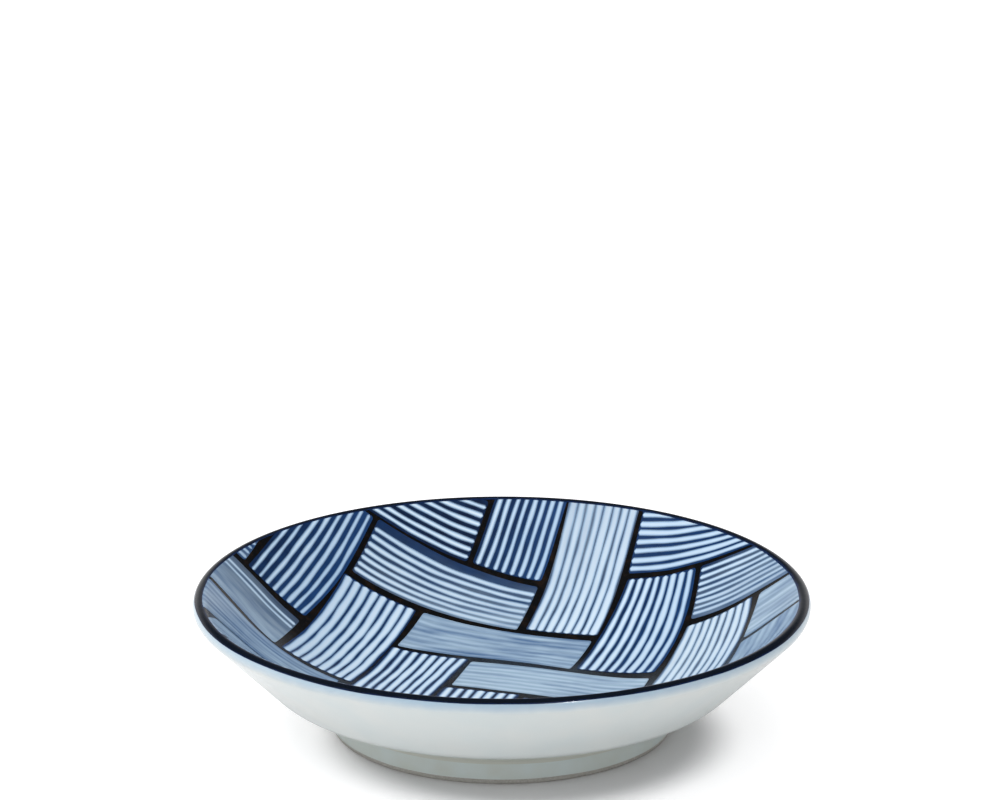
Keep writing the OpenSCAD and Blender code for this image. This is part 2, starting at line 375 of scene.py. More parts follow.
class Section:
    """Corners of the dish's section, in metres, as (distance from the axis, height). Depths are square
    to the finished surface, into the dish."""

    def __init__(self, shape):
        self.coat = shape.coat
        self.rim_r = shape.diameter / 2
        self.lip_r = shape.lip_radius
        self.floor = shape.floor
        self.recess = shape.recess
        self.heel = Vector((shape.heel_diameter / 2, shape.heel_height))
        self.heel_bend = shape.heel_bend
        self.fillet = shape.foot_fillet
        self.lip = Vector((self.rim_r - self.lip_r, shape.height - self.lip_r))
        self.foot_base = Vector(((shape.foot_diameter - shape.foot_taper) / 2, 0))
        self.foot_in_base = self.foot_base - Vector((shape.foot_width, 0))
        foot_top = Vector((shape.foot_diameter / 2, shape.under_height))
        foot_in_root = Vector((self.foot_in_base.x - shape.foot_root_width, shape.recess))
        well = Vector((shape.well_diameter / 2, self.floor))
        self.foot_angle = angle_of(self.foot_base, foot_top)
        self.under_angle = angle_of(foot_top, self.heel)
        self.foot_in_angle = angle_of(self.foot_in_base, foot_in_root)
        self.wall_angle = self.flank_angle(self.heel, -1)
        self.well_angle = self.flank_angle(well, 1)
        self.well_bend = shape.well_bend
        self.foot_glaze_top = shape.under_height - shape.foot_fillet

    def flank_angle(self, point, side):
        """Angle of the line from a point that just touches the lip's circle on one side."""
        to_lip = self.lip - point
        return angle_of(point, self.lip) + side * math.asin(self.lip_r / to_lip.length)

    def side_at(self, height, depth):
        """On the foot's outer side."""
        return meet(Vector((0, height)), 0, moved(self.foot_base, self.foot_angle, depth), self.foot_angle)

    def foot_in_at(self, height, depth):
        """On the foot ring's inner side."""
        side = moved(self.foot_in_base, self.foot_in_angle, -depth)
        return meet(Vector((0, height)), 0, side, self.foot_in_angle)

    def root_at(self, depth):
        """Where the foot's side meets the underside."""
        under = moved(self.heel, self.under_angle, depth)
        return meet(self.side_at(0, depth), self.foot_angle, under, self.under_angle)

    def heel_at(self, depth):
        """Where the underside meets the flared wall."""
        under = moved(self.heel, self.under_angle, depth)
        return meet(under, self.under_angle, moved(self.heel, self.wall_angle, depth), self.wall_angle)

    def lip_at(self, direction, depth):
        """On the lip's circle, at an angle round its centre."""
        return self.lip + (self.lip_r - depth) * along(direction)

    def lip_in(self, depth):
        """Where the lip runs into the inner wall."""
        return self.lip_at(self.well_angle + math.pi / 2, depth)

    def well_at(self, depth):
        """Where the lines of the floor and of the inner wall meet."""
        return meet(Vector((0, self.floor - depth)), 0, self.lip_in(depth), self.well_angle)

    def inner_height(self, distance, depth):
        """Height of the inside's surface at a distance from the axis."""
        corner = self.well_at(depth)
        bend = self.well_bend + depth
        reach = bend * math.tan(self.well_angle / 2)
        if distance > self.lip_in(depth).x:
            return self.lip.y + math.sqrt((self.lip_r - depth) ** 2 - (distance - self.lip.x) ** 2)
        into_bend = distance - (corner.x - reach)
        if into_bend < 0:
            return corner.y
        if distance < corner.x + reach * math.cos(self.well_angle):
            return corner.y + bend - math.sqrt(bend ** 2 - into_bend ** 2)
        return corner.y + (distance - corner.x) * math.tan(self.well_angle)

    def lip_corners(self, depth, first, last):
        """Points round the lip's circle from one angle to another."""
        count = math.ceil(abs(last - first) / LIP_STEP)
        return [(self.lip_at(first + (last - first) * k / count, depth), 0) for k in range(count + 1)]


def draw_section(bm, corners):
    """Draws an outline in the XZ plane through (corner, radius) pairs, with an arc at each radius. It is
    left open between two ends on the axis, and closed otherwise."""
    count = len(corners)
    first = last = None
    for i, (corner, radius) in enumerate(corners):
        before = angle_of(corners[i - 1][0], corner)
        after = angle_of(corner, corners[(i + 1) % count][0])
        turn = (after - before + 3 * math.pi) % (2 * math.pi) - math.pi
        start = corner - radius * math.tan(abs(turn) / 2) * along(before)
        here = bmesh.ops.create_vert(bm, co=(start.x, 0, start.y))["vert"][0]
        if last:
            bm.edges.new((last, here))
        first, last = first or here, here
        if radius:
            centre = moved(start, before, math.copysign(radius, turn))
            arc = bmesh.ops.spin(
                bm, geom=[here], cent=(centre.x, 0, centre.y), axis=(0, -1, 0), angle=turn,
                steps=math.ceil(abs(turn) / ARC_STEP),
            )
            last = arc["geom_last"][0]
    if first.co.x > 0 or last.co.x > 0:
        bm.edges.new((last, first))


def revolved(corners):
    """A bmesh of a section turned once round the dish's axis, closed at the axis."""
    bm = bmesh.new()
    draw_section(bm, corners)
    bmesh.ops.spin(
        bm, geom=bm.verts[:] + bm.edges[:], cent=(0, 0, 0), axis=(0, 0, 1), angle=2 * math.pi,
        steps=SPIN_STEPS, use_merge=True,
    )
    bmesh.ops.remove_doubles(bm, verts=bm.verts, dist=MERGE_DISTANCE)
    bmesh.ops.recalc_face_normals(bm, faces=bm.faces)
    return bm


def waver(place, seed):
    """Slow drift of a hand that draws, from -1 to 1 at a place in millimetres."""
    return noise.noise(Vector((place.x, place.y, seed)))


def add_piece(name, bm, material, node):
    """Makes the object of a finished bmesh and sets what it rides on, replaces and takes its finish from."""
    mesh = bpy.data.meshes.new(name)
    bm.to_mesh(mesh)
    bm.free()
    mesh.shade_smooth()
    mesh.set_sharp_from_angle(angle=SHARP_ANGLE)
    mesh.materials.append(material)
    piece = bpy.data.objects.new(name, mesh)
    bpy.context.scene.collection.objects.link(piece)
    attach(piece, BODY)
    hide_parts(node)
    return piece


def add(tree, kind, sockets=None, **settings):
    """Adds a shader node, with its settings, and fills its sockets with values, with other nodes' outputs
    or with other nodes, whose first output is taken. By number, a Map Range has its value, the low and
    high it comes from and the low and high it goes to, and a colour Mix has its share at 0 and its
    colours at 6 and 7."""
    made = tree.nodes.new("ShaderNode" + kind)
    for name, value in settings.items():
        setattr(made, name, value)
    for socket, value in (sockets or {}).items():
        if isinstance(value, bpy.types.Node):
            value = value.outputs[0]
        if isinstance(value, bpy.types.NodeSocket):
            tree.links.new(value, made.inputs[socket])
        else:
            made.inputs[socket].default_value = value
    return made


def ceramic(name, roughness):
    """A new material with its shader alone: returns it, its node tree and the shader."""
    material = bpy.data.materials.new(name)
    material.use_nodes = True
    tree = material.node_tree
    tree.nodes.clear()
    shader = add(tree, "BsdfPrincipled", {"Roughness": roughness, "IOR": 1.5})
    add(tree, "OutputMaterial", {"Surface": shader})
    return material, tree, shader


def rgba(colour_property):
    """A colour property with full opacity."""
    return (*colour_property, 1)


def in_millimetres(tree):
    """The place on the dish, in millimetres."""
    place = add(tree, "TexCoord").outputs["Object"]
    return add(tree, "VectorMath", {0: place, 1: (1 / MM,) * 3}, operation="MULTIPLY").outputs[0]


def soft_waves(tree, shader, place, wavelength, depth):
    """Gives a glaze its slight unevenness: waves of a length and a depth in millimetres."""
    waves = add(tree, "TexNoise", {"Vector": place, "Scale": 1 / wavelength, "Detail": 2})
    bump = add(tree, "Bump", {"Height": waves, "Distance": depth * MM, "Strength": 1})
    tree.links.new(bump.outputs[0], shader.inputs["Normal"])


def fired_porcelain(colours):
    """White porcelain, fired: dense and smooth, and all but hidden under its coats."""
    material, tree, shader = ceramic("fired_porcelain", 0.45)
    place = in_millimetres(tree)
    cloud = add(tree, "TexNoise", {"Vector": place, "Scale": 1 / 12, "Detail": 3})
    tone = add(
        tree, "Mix", {0: cloud, 6: rgba(colours.porcelain), 7: rgba(colours.bare_clay_and_painted_shade)}, data_type="RGBA"
    )
    tree.links.new(tone.outputs[2], shader.inputs["Base Color"])
    soft_waves(tree, shader, place, wavelength=3, depth=0.01)
    return material


def bare_clay_and_painted_shade(colours):
    """Unglazed porcelain clay, sponged: matt, with a fine grain and a few dark specks, and painted darker
    than the clay is, as contact shade where the foot stands on the table.
    """
    material, tree, shader = ceramic("sponged_clay_with_painted_shade", 0.8)
    place = in_millimetres(tree)
    grain = add(tree, "TexNoise", {"Vector": place, "Scale": 4, "Detail": 4})
    # Little pale porcelain shows through, so the bare band stays dark as painted shade
    porcelain_fleck_share = add(tree, "MapRange", {0: grain, 1: 0.3, 2: 0.7, 3: 0.1, 4: 0.4})
    tone = add(
        tree, "Mix", {0: porcelain_fleck_share, 6: rgba(colours.bare_clay_and_painted_shade), 7: rgba(colours.porcelain)}, data_type="RGBA"
    )
    tree.links.new(tone.outputs[2], shader.inputs["Base Color"])
    soft_waves(tree, shader, place, wavelength=0.3, depth=0.03)
    return material


def celadon_glaze(colours, shape):
    """Celadon glaze, dipped: pale and glossy, with cobalt bleeding into it from the dark line above."""
    material, tree, shader = ceramic("celadon_glaze", 0.16)
    place = in_millimetres(tree)
    cloud = add(tree, "TexNoise", {"Vector": place, "Scale": 1 / 9, "Detail": 2})
    thin = add(tree, "MapRange", {0: cloud, 1: 0.3, 2: 0.7, 3: 0.25, 4: 0.5})
    tone = add(
        tree, "Mix", {0: thin, 6: rgba(colours.celadon), 7: rgba(colours.porcelain)}, data_type="RGBA"
    )
    away, height = add(tree, "SeparateXYZ", {0: place}).outputs[1:]
    front = add(tree, "MapRange", {0: away, 1: BLEED_FADE[0], 2: BLEED_FADE[1], 3: 0.8, 4: 0.5})
    run = add(tree, "TexNoise", {"Vector": place, "Scale": 1 / 3, "Detail": 2})
    run_height = add(tree, "Math", {0: run, 1: BLEED_UNEVEN, 2: height}, operation="MULTIPLY_ADD")
    top = shape.height / MM - BLEED_START
    bleed = add(
        tree, "MapRange", {0: run_height, 1: top - BLEED_RUN, 2: top, 3: 0, 4: front},
        interpolation_type="SMOOTHSTEP",
    )
    # Below the foot's root, and so all through the recess, the glaze takes the thick celadon's colour:
    # partly thicker glaze, partly painted shade in the crease and the recess
    pool_and_shade = add(
        tree, "MapRange", {0: height, 1: POOL_AND_SHADE_FADE[0], 2: POOL_AND_SHADE_FADE[1], 3: 1, 4: 0},
        interpolation_type="SMOOTHSTEP",
    )
    pooled_and_shaded = add(
        tree, "Mix", {0: pool_and_shade, 6: tone.outputs[2], 7: rgba(colours.celadon_pool_and_shade)}, data_type="RGBA"
    )
    tinted = add(
        tree, "Mix", {0: bleed, 6: pooled_and_shaded.outputs[2], 7: rgba(colours.cobalt_bleed)}, data_type="RGBA"
    )
    tree.links.new(tinted.outputs[2], shader.inputs["Base Color"])
    soft_waves(tree, shader, place, wavelength=5, depth=0.02)
    return material


def pooled_and_shaded_celadon(colours):
    """The same glaze where it gathers on the foot: thicker, greener and darker. The darkness is partly
    the thicker glaze and partly painted shade under the wall's overhang.
    """
    material, tree, shader = ceramic("thick_celadon_with_painted_shade", 0.2)
    place = in_millimetres(tree)
    cloud = add(tree, "TexNoise", {"Vector": place, "Scale": 1 / 5, "Detail": 3})
    tone = add(
        tree, "Mix", {0: cloud, 6: rgba(colours.celadon_pool_and_shade), 7: rgba(colours.celadon)},
        data_type="RGBA",
    )
    tree.links.new(tone.outputs[2], shader.inputs["Base Color"])
    soft_waves(tree, shader, place, wavelength=4, depth=0.02)
    return material


def gap_paint(colours):
    """Iron and cobalt paint under clear glaze: near black, with rusty flecks where it is thin."""
    material, tree, shader = ceramic("iron_gap_paint", 0.2)
    place = in_millimetres(tree)
    cloud = add(tree, "TexNoise", {"Vector": place, "Scale": 1 / 1.6, "Detail": 2})
    fleck = add(tree, "MapRange", {0: cloud, 1: 0.5, 2: 0.75, 3: 0, 4: 1})
    tone = add(
        tree, "Mix", {0: fleck, 6: rgba(colours.gap), 7: rgba(colours.gap_rust)}, data_type="RGBA"
    )
    tree.links.new(tone.outputs[2], shader.inputs["Base Color"])
    soft_waves(tree, shader, place, wavelength=4, depth=0.02)
    return material


def line_paint(colours):
    """Banding paint under clear glaze: blue-black, turning blue where its edges run."""
    material, tree, shader = ceramic("blue_black_banding_paint", 0.16)
    place = in_millimetres(tree)
    edge = add(tree, "Attribute", attribute_name="line_edge").outputs["Fac"]
    cloud = add(tree, "TexNoise", {"Vector": place, "Scale": 1 / 2.5, "Detail": 2})
    run = add(tree, "Math", {0: cloud, 1: 0.5, 2: edge}, operation="MULTIPLY_ADD")
    blue = add(
        tree, "MapRange", {0: run, 1: 0.85, 2: 1.35, 3: 0, 4: 1}, interpolation_type="SMOOTHSTEP"
    )
    tone = add(
        tree, "Mix", {0: blue, 6: rgba(colours.line), 7: rgba(colours.line_edge)}, data_type="RGBA"
    )
    tree.links.new(tone.outputs[2], shader.inputs["Base Color"])
    soft_waves(tree, shader, place, wavelength=4, depth=0.02)
    return material


def stroke_paint(name, colours, weave):
    """Strokes of slip on cobalt under clear glaze: white in the middle, pale blue where the brush left
    it thin, with soft round ends. The UV map holds millimetres along the strand and strokes across it."""
    material, tree, shader = ceramic(name, 0.2)
    place = in_millimetres(tree)
    far, lane = add(tree, "SeparateXYZ", {0: add(tree, "UVMap", uv_map="strokes")}).outputs[:2]
    strand = add(tree, "Attribute", attribute_name="strand").outputs["Vector"]
    long, last_lane, seed = add(tree, "SeparateXYZ", {0: strand}).outputs
    brush = add(tree, "Attribute", attribute_name="brush").outputs["Vector"]
    fill, blue, washed = add(tree, "SeparateXYZ", {0: brush}).outputs
    row = add(tree, "Math", {0: lane}, operation="FLOOR")
    lot = add(tree, "CombineXYZ", {0: row, 1: seed})
    dice = add(tree, "TexWhiteNoise", {"Vector": lot}, noise_dimensions="2D").outputs["Color"]
    luck_first, luck_last, luck_width = add(tree, "SeparateXYZ", {0: dice}).outputs

    # Drift of each stroke's line and of its width
    row_place = add(tree, "Math", {0: row, 1: STROKE_SEED_STEP, 2: seed}, operation="MULTIPLY_ADD")
    slow_far = add(tree, "Math", {0: far, 1: STROKE_DRIFT_LENGTH}, operation="DIVIDE")
    slow = add(tree, "CombineXYZ", {0: slow_far, 1: row_place})
    quick_far = add(tree, "Math", {0: far, 1: PRESS_LENGTH}, operation="DIVIDE")
    quick = add(tree, "CombineXYZ", {0: quick_far, 1: row_place, 2: PRESS_SEED})
    drift = add(tree, "TexNoise", {"Vector": slow, "Scale": 1, "Detail": 0})
    press = add(tree, "TexNoise", {"Vector": quick, "Scale": 1, "Detail": 0})
    middle = add(
        tree, "Math", {0: drift, 1: STROKE_DRIFT_WIDTH, 2: -STROKE_DRIFT_WIDTH / 2}, operation="MULTIPLY_ADD"
    )
    in_lane = add(tree, "Math", {0: lane}, operation="FRACT")
    off_middle = add(tree, "Math", {0: in_lane, 1: 0.5}, operation="SUBTRACT")
    drifted = add(tree, "Math", {0: off_middle, 1: middle}, operation="ADD")
    aside = add(tree, "Math", {0: drifted}, operation="ABSOLUTE")

    # Half width of the stroke here, drawn in to a round tip at each end
    first = add(tree, "Math", {0: luck_first, 1: weave.stroke_end / MM}, operation="MULTIPLY")
    last = add(tree, "Math", {0: luck_last, 1: weave.stroke_end / MM}, operation="MULTIPLY")
    ahead = add(tree, "Math", {0: long, 1: far}, operation="SUBTRACT")
    to_end = add(tree, "Math", {0: ahead, 1: last}, operation="SUBTRACT")
    from_start = add(tree, "Math", {0: far, 1: first}, operation="SUBTRACT")
    inside = add(tree, "Math", {0: from_start, 1: to_end}, operation="MINIMUM")
    near_tip = add(tree, "Math", {0: inside, 1: weave.stroke_tip / MM}, operation="DIVIDE", use_clamp=True)
    tip = add(tree, "Math", {0: near_tip}, operation="SQRT")
    half = add(tree, "Math", {0: fill, 1: 0.5}, operation="MULTIPLY")
    lucky = add(tree, "Math", {0: luck_width, 1: 0.5}, operation="SUBTRACT")
    half = add(tree, "Math", {0: lucky, 1: LUCK_WIDTH, 2: half}, operation="MULTIPLY_ADD")
    pressed = add(tree, "Math", {0: press, 1: 0.5}, operation="SUBTRACT")
    half = add(tree, "Math", {0: pressed, 1: PRESS_WIDTH, 2: half}, operation="MULTIPLY_ADD")
    half = add(tree, "Math", {0: half, 1: TIP_WIDTH}, operation="ADD")
    half = add(tree, "Math", {0: half, 1: tip}, operation="MULTIPLY")
    half = add(tree, "Math", {0: half, 1: TIP_WIDTH}, operation="SUBTRACT")

    # Where paint lies: within the stroke's width and on one of the strand's strokes
    beyond = add(tree, "Math", {0: aside, 1: half}, operation="SUBTRACT")
    body = add(
        tree, "MapRange", {0: beyond, 1: STROKE_EDGE[0], 2: STROKE_EDGE[1], 3: 1, 4: 0},
        interpolation_type="SMOOTHSTEP",
    )
    core = add(
        tree, "MapRange", {0: beyond, 1: STROKE_CORE[0], 2: STROKE_CORE[1], 3: 1, 4: 0},
        interpolation_type="SMOOTHSTEP",
    )
    after_first = add(tree, "Math", {0: row, 1: -0.5}, operation="GREATER_THAN")
    before_last = add(tree, "Math", {0: row, 1: last_lane}, operation="LESS_THAN")
    counted = add(tree, "Math", {0: after_first, 1: before_last}, operation="MULTIPLY")
    paint = add(tree, "Math", {0: counted, 1: body}, operation="MULTIPLY")

    # Colours of the ground, of the strokes and of the wash over both
    cloud = add(tree, "TexNoise", {"Vector": place, "Scale": 1 / GROUND_CLOUD, "Detail": 3})
    cloudy = add(tree, "Math", {0: cloud, 1: 0.5}, operation="SUBTRACT")
    depth = add(
        tree, "Math", {0: cloudy, 1: GROUND_CONTRAST, 2: blue}, operation="MULTIPLY_ADD", use_clamp=True
    )
    ground = add(tree, "Mix", {0: depth, 6: rgba(colours.navy), 7: rgba(colours.cobalt)}, data_type="RGBA")
    tint = add(tree, "Math", {0: blue, 1: STROKE_TINT}, operation="MULTIPLY", use_clamp=True)
    white = add(
        tree, "Mix", {0: tint, 6: rgba(colours.stroke), 7: rgba(colours.stroke_blue)}, data_type="RGBA"
    )
    laid = add(tree, "Mix", {0: core, 6: rgba(colours.stroke_pale), 7: white.outputs[2]}, data_type="RGBA")
    striped = add(tree, "Mix", {0: paint, 6: ground.outputs[2], 7: laid.outputs[2]}, data_type="RGBA")
    streak_far = add(tree, "Math", {0: far, 1: STREAK_LENGTH}, operation="DIVIDE")
    streak_lane = add(tree, "Math", {0: lane, 1: STREAKS_PER_LANE}, operation="MULTIPLY")
    streak_place = add(tree, "CombineXYZ", {0: streak_far, 1: streak_lane, 2: seed})
    streaks = add(tree, "TexNoise", {"Vector": streak_place, "Scale": 1, "Detail": 4})
    uneven = add(tree, "Math", {0: streaks, 1: 0.5}, operation="SUBTRACT")
    light = add(tree, "Math", {0: STREAK_LIGHT, 1: blue}, operation="SUBTRACT")
    streak = add(
        tree, "Math", {0: uneven, 1: STREAK_CONTRAST, 2: light}, operation="MULTIPLY_ADD", use_clamp=True
    )
    wash = add(
        tree, "Mix", {0: streak, 6: rgba(colours.wash_deep), 7: rgba(colours.wash_pale)}, data_type="RGBA"
    )
    tone = add(tree, "Mix", {0: washed, 6: striped.outputs[2], 7: wash.outputs[2]}, data_type="RGBA")
    tree.links.new(tone.outputs[2], shader.inputs["Base Color"])
    soft_waves(tree, shader, place, wavelength=4, depth=0.02)
    return material


def strand_plan(strand, rim_r, s, t):
    """Place of a strand's own spot, s along it and t across it, as (across, along) the weave's axes."""
    sway = 4 * s * (1 - s)
    low = strand.low + strand.skews[0] * (s - 0.5) + strand.bows[0] * sway
    high = strand.high + strand.skews[1] * (s - 0.5) + strand.bows[1] * sway
    start = strand.start + strand.slants[0] * (t - 0.5)
    end = strand.end + strand.slants[1] * (t - 0.5)
    return rim_r * Vector((low + (high - low) * t, start + (end - start) * s))


def cut_outside(bm, point, normal):
    """Cuts away what lies beyond a plane."""
    geom = bm.verts[:] + bm.edges[:] + bm.faces[:]
    bmesh.ops.bisect_plane(
        bm, geom=geom, plane_co=point, plane_no=normal, clear_outer=True, dist=CUT_DISTANCE
    )


def strand_mesh(strand, number, runs_up, section, shape, weave):
    """A painted strand as a thin slab on the inside of the dish: a flat piece with round corners, laid
    out in plan, cut at the rim, set on the surface and given its thickness."""
    rim_r = section.rim_r
    long = rim_r * (strand.end - strand.start)
    wide = rim_r * (strand.high - strand.low)
    bm = bmesh.new()
    marks = bm.loops.layers.uv.new("strokes")
    sizes = bm.verts.layers.float_vector.new("strand")
    brush = bm.verts.layers.float_vector.new("brush")
    bmesh.ops.create_grid(
        bm, x_segments=round(long / STRAND_CELL), y_segments=round(wide / STRAND_CELL), size=0.5,
        matrix=Matrix.Diagonal((long, wide, 1, 1)) @ Matrix.Translation((0.5, 0.5, 0)),
    )
    for corner_x, side_x in ((0, -1), (long, 1)):
        for corner_y, side_y in ((0, -1), (wide, 1)):
            centre = Vector((corner_x - side_x * weave.corner, corner_y - side_y * weave.corner, 0))
            for k in range(CORNER_CUTS):
                way = along(math.pi / 2 * (k + 0.5) / CORNER_CUTS)
                out = Vector((side_x * way.x, side_y * way.y, 0))
                cut_outside(bm, centre + weave.corner * out, out)

    across = strand.margins[0] + strand.strokes + strand.margins[1]
    for face in bm.faces:
        for loop in face.loops:
            s, t = loop.vert.co.x / long, loop.vert.co.y / wide
            loop[marks].uv = (s * long / MM, t * across - strand.margins[0])
    for vert in bm.verts:
        s, t = vert.co.x / long, vert.co.y / wide
        start = strand.wash[0] + (strand.wash[1] - strand.wash[0]) * t
        end = strand.wash[2] + (strand.wash[3] - strand.wash[2]) * t
        blue = strand.blue[0] + (strand.blue[1] - strand.blue[0]) * t
        vert[sizes] = (long / MM, strand.strokes - 0.5, STRAND_SEED_STEP * number)
        vert[brush] = (strand.fill, blue, start + (end - start) * s)
        place = strand_plan(strand, rim_r, s, t)
        if not runs_up:
            place = place.yx
        rough = place / STRAND_DRIFT
        place += weave.waver * Vector((waver(rough, SIDE_SEED), waver(rough, END_SEED)))
        vert.co = (place.x, place.y, 0)
    bmesh.ops.rotate(bm, verts=bm.verts, cent=(0, 0, 0), matrix=Matrix.Rotation(weave.turn, 3, "Z"))
    edge = section.lip_at(weave.line_in - STRANDS_UNDER_LINE * weave.line_waver, 0).x
    reach = [vert.co.copy() for vert in bm.verts if vert.co.length > edge]
    for k in range(RIM_CUTS):
        turn = 2 * math.pi * k / RIM_CUTS
        out = Vector((math.cos(turn), math.sin(turn), 0))
        if any(place.dot(out) > edge for place in reach):
            cut_outside(bm, edge * out, out)
    for vert in bm.verts:
        vert.co.z = section.inner_height(vert.co.xy.length, shape.sink)
    bmesh.ops.recalc_face_normals(bm, faces=bm.faces)
    if sum(face.normal.z for face in bm.faces) < 0:
        bmesh.ops.reverse_faces(bm, faces=bm.faces)
    bmesh.ops.solidify(bm, geom=bm.faces[:], thickness=2 * shape.relief)
    return bm


class DISH_OT_bowl_body(bpy.types.Operator):
    """Build the fired bowl, floor and flared wall, under its coats"""

    bl_idname = "dish.bowl_body"
    bl_label = "Bowl Body"

    def execute(self, context):
        scene = context.scene
        section = Section(scene.dish_shape)
        t = section.coat
        bm = revolved([
            (Vector((0, scene.dish_shape.seat)), 0), (section.side_at(scene.dish_shape.seat, t), 0),
            (section.root_at(t), section.fillet + t), (section.heel_at(t), section.heel_bend - t),
            *section.lip_corners(t, section.wall_angle - math.pi / 2, section.well_angle + math.pi / 2),
            (section.well_at(t), section.well_bend + t), (Vector((0, section.floor - t)), 0),
        ])
        add_piece("bowl_body_fired", bm, fired_porcelain(scene.dish_colours), "bowl_body")
        return {"FINISHED"}


class DISH_OT_foot_ring(bpy.types.Operator):
    """Build the turned foot, bare where it stands on the table"""

    bl_idname = "dish.foot_ring"
    bl_label = "Foot Ring"

    def execute(self, context):
        scene = context.scene
        shape = scene.dish_shape
        section = Section(shape)
        t = section.coat
        bm = revolved([
            (section.foot_in_at(0, t), shape.foot_edge), (section.side_at(0, t), shape.foot_edge),
            (section.side_at(shape.seat, t), 0), (section.foot_in_at(shape.seat, t), 0),
        ])
        add_piece("foot_ring_bare", bm, bare_clay_and_painted_shade(scene.dish_colours), "foot_ring")
        return {"FINISHED"}


class DISH_OT_outside_glaze(bpy.types.Operator):
    """Build the pale glaze from the dark line down to the foot"""

    bl_idname = "dish.outside_glaze"
    bl_label = "Outside Glaze"

    def execute(self, context):
        scene = context.scene
        shape = scene.dish_shape
        section = Section(shape)
        top, t, sink = section.foot_glaze_top, section.coat, shape.sink
        under_line = scene.dish_weave.line_out + GLAZE_UNDER_LINE
        wall = section.wall_angle - math.pi / 2
        bm = revolved([
            (section.side_at(top, sink), 0), (section.root_at(sink), section.fillet + sink),
            (section.heel_at(sink), section.heel_bend - sink), *section.lip_corners(sink, wall, under_line),
            *section.lip_corners(t, under_line, wall), (section.heel_at(t), section.heel_bend - t),
            (section.root_at(t), section.fillet + t), (section.side_at(top, t), 0),
        ])
        material = celadon_glaze(scene.dish_colours, shape)
        add_piece("outside_glaze_celadon", bm, material, "outside_glaze")
        return {"FINISHED"}


class DISH_OT_foot_glaze(bpy.types.Operator):
    """Build the darker glaze that gathers on the foot, with its uneven lower edge"""

    bl_idname = "dish.foot_glaze"
    bl_label = "Foot Glaze"

    def execute(self, context):
        scene = context.scene
        shape = scene.dish_shape
        section = Section(shape)
        top, low, t = section.foot_glaze_top, shape.bare, section.coat
        bm = revolved([
            (section.side_at(low, shape.sink), 0), (section.side_at(top, shape.sink), 0),
            (section.side_at(top, t), 0), (section.side_at(low, t), 0),
        ])
        for vert in bm.verts:
            if vert.co.z < (low + top) / 2:
                vert.co.z += GLAZE_EDGE * (1 + waver(vert.co.xy / GLAZE_DRIFT, GLAZE_SEED))
        add_piece("foot_glaze_thick_with_painted_shade", bm, pooled_and_shaded_celadon(scene.dish_colours), "foot_glaze")
        return {"FINISHED"}


class DISH_OT_base_glaze(bpy.types.Operator):
    """Build the glaze on the roof of the recess and inside the foot ring"""

    bl_idname = "dish.base_glaze"
    bl_label = "Base Glaze"

    def execute(self, context):
        scene = context.scene
        shape = scene.dish_shape
        section = Section(shape)
        roof, low, t = section.recess, shape.bare, section.coat
        bm = revolved([
            (Vector((0, roof)), 0), (section.foot_in_at(roof, 0), 0), (section.foot_in_at(low, 0), 0),
            (section.foot_in_at(low, t), 0), (section.foot_in_at(shape.seat, t), 0),
            (Vector((0, shape.seat)), 0),
        ])
        # The recess lies low enough to take the thick celadon, darker partly as painted shade
        material = celadon_glaze(scene.dish_colours, shape)
        add_piece("base_glaze_celadon", bm, material, "base_glaze")
        return {"FINISHED"}


class DISH_OT_painted_gaps(bpy.types.Operator):
    """Build the dark ground that shows between the strands"""

    bl_idname = "dish.painted_gaps"
    bl_label = "Painted Gaps"

    def execute(self, context):
        scene = context.scene
        shape = scene.dish_shape
        section = Section(shape)
        t, top = section.coat, shape.sink + shape.relief
        inner = section.well_angle + math.pi / 2
        under_line = scene.dish_weave.line_in - GROUND_UNDER_LINE * scene.dish_weave.line_waver
        bm = revolved([
            (Vector((0, section.floor - t)), 0), (section.well_at(t), section.well_bend + t),
            *section.lip_corners(t, inner, under_line), *section.lip_corners(top, under_line, inner),
            (section.well_at(top), section.well_bend + top), (Vector((0, section.floor - top)), 0),
        ])
        add_piece("painted_gaps_ground", bm, gap_paint(scene.dish_colours), "painted_gaps")
        return {"FINISHED"}


class DISH_OT_strands_up(bpy.types.Operator):
    """Build the painted strands that run up the dish"""

    bl_idname = "dish.strands_up"
    bl_label = "Strands Up"

    def execute(self, context):
        scene = context.scene
        section = Section(scene.dish_shape)
        material = stroke_paint("white_strokes_on_cobalt", scene.dish_colours, scene.dish_weave)
        for i, strand in enumerate(UP_STRANDS, 1):
            bm = strand_mesh(strand, i, True, section, scene.dish_shape, scene.dish_weave)
            add_piece(f"strand_up_{i:02}", bm, material, "strands_up")
        return {"FINISHED"}


class DISH_OT_strands_across(bpy.types.Operator):
    """Build the painted strands that run across the dish"""

    bl_idname = "dish.strands_across"
    bl_label = "Strands Across"

    def execute(self, context):
        scene = context.scene
        section = Section(scene.dish_shape)
        material = stroke_paint("cobalt_wash_with_strokes", scene.dish_colours, scene.dish_weave)
        for i, strand in enumerate(ACROSS_STRANDS, 1):
            bm = strand_mesh(strand, i + len(UP_STRANDS), False, section, scene.dish_shape, scene.dish_weave)
            add_piece(f"strand_across_{i:02}", bm, material, "strands_across")
        return {"FINISHED"}


